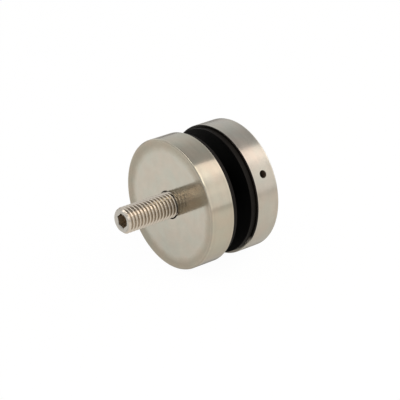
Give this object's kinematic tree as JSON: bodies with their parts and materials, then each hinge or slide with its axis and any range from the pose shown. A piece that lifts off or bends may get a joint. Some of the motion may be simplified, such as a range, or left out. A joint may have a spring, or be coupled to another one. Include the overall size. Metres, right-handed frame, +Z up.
{
  "type": "glass panel standoff",
  "caption": "Round steel point fixing on a threaded stud: two gasketed discs clamp a glass panel and hold it off a wall; the cap unscrews with a pin spanner.",
  "frame": {"origin": "centre of the wall disc's wall face, on the screw's axis", "axes": "+Y along the screw into the wall, -Y through the glass gap towards the clamp cap, +Z up, +X to the right as seen looking along +Y"},
  "size_m": [0.05, 0.054, 0.05],
  "materials": {
    "disc_steel": "satin, turned and brushed round the rim",
    "threaded_steel": "rolled thread, slightly brighter on the crests",
    "gasket_rubber": "matt, smooth",
    "bush_plastic": "matt, turned"
  },
  "bodies": {
    "set_screw": {"set_screw": "threaded_steel"},
    "wall_side": {"wall_gasket": "gasket_rubber", "glass_bush": "bush_plastic"},
    "wall_disc": {"wall_disc": "disc_steel"},
    "cap_side": {"cap_gasket": "gasket_rubber"},
    "clamp_cap": {"clamp_cap": "disc_steel"}
  },
  "joints": [
    {"name": "wall_disc_travel", "type": "slide", "parent": "set_screw", "child": "wall_side", "axis": [0, 1, 0], "range_m": [0, 0.012]},
    {"name": "wall_disc_turn", "type": "hinge", "parent": "wall_side", "child": "wall_disc", "pos_m": [0, 0, 0], "axis": [0, 1, 0], "range_deg": [0, 2880]},
    {"name": "cap_travel", "type": "slide", "parent": "set_screw", "child": "cap_side", "axis": [0, -1, 0], "range_m": [0, 0.006]},
    {"name": "cap_turn", "type": "hinge", "parent": "cap_side", "child": "clamp_cap", "pos_m": [0, 0, 0], "axis": [0, -1, 0], "range_deg": [0, 1440]}
  ],
  "couplings": [
    {"joint": "wall_disc_travel", "follows": "wall_disc_turn", "m_per_rad": 0.00023873},
    {"joint": "cap_travel", "follows": "cap_turn", "m_per_rad": 0.00023873}
  ]
}
